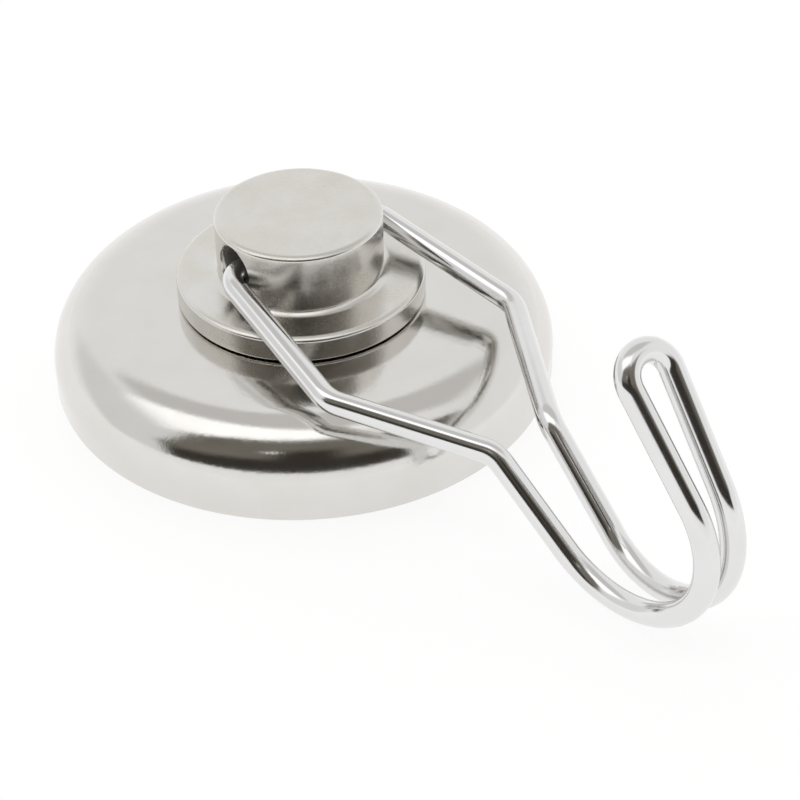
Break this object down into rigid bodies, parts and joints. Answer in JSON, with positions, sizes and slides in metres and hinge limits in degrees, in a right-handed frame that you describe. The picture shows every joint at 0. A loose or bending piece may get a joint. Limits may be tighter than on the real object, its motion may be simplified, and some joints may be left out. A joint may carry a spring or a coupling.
{
  "type": "swivel hook magnet",
  "caption": "Shallow round pot magnet with a swivelling two-tier hub and a swinging bent-wire hook.",
  "frame": {"origin": "centre of the magnetic face, in the plane of the pot's rim", "axes": "+Z out of the pot along the hub's swivel axis, +X towards the hook at rest, Y along the hub's cross hole"},
  "size_m": [0.0979, 0.06, 0.033],
  "materials": {
    "satin_nickel": "satin nickel plate",
    "hub_nickel": "turned and satin nickel plated",
    "bright_wire": "bright plated steel wire",
    "magnet_nickel": "bright nickel plate",
    "resin": "cast epoxy",
    "bearing_bronze": "matt",
    "zinc_steel": "bright zinc plate"
  },
  "bodies": {
    "pot": {"steel_cup": "satin_nickel", "disc_magnet": "magnet_nickel", "potting_ring": "resin", "upper_bearing_washer": "bearing_bronze", "lower_bearing_washer": "bearing_bronze"},
    "hub": {"swivel_hub": "hub_nickel", "retainer_disc": "zinc_steel", "retaining_screw": "zinc_steel"},
    "hook": {"wire_hook": "bright_wire"}
  },
  "joints": [
    {"name": "hub_swivel", "type": "hinge", "parent": "pot", "child": "hub", "pos_m": [0, 0, 0.0108], "axis": [0, 0, 1], "continuous": true},
    {"name": "hook_swing", "type": "hinge", "parent": "hub", "child": "hook", "pos_m": [0, 0, 0.01678], "axis": [0, -1, 0], "range_deg": [0, 180]}
  ]
}
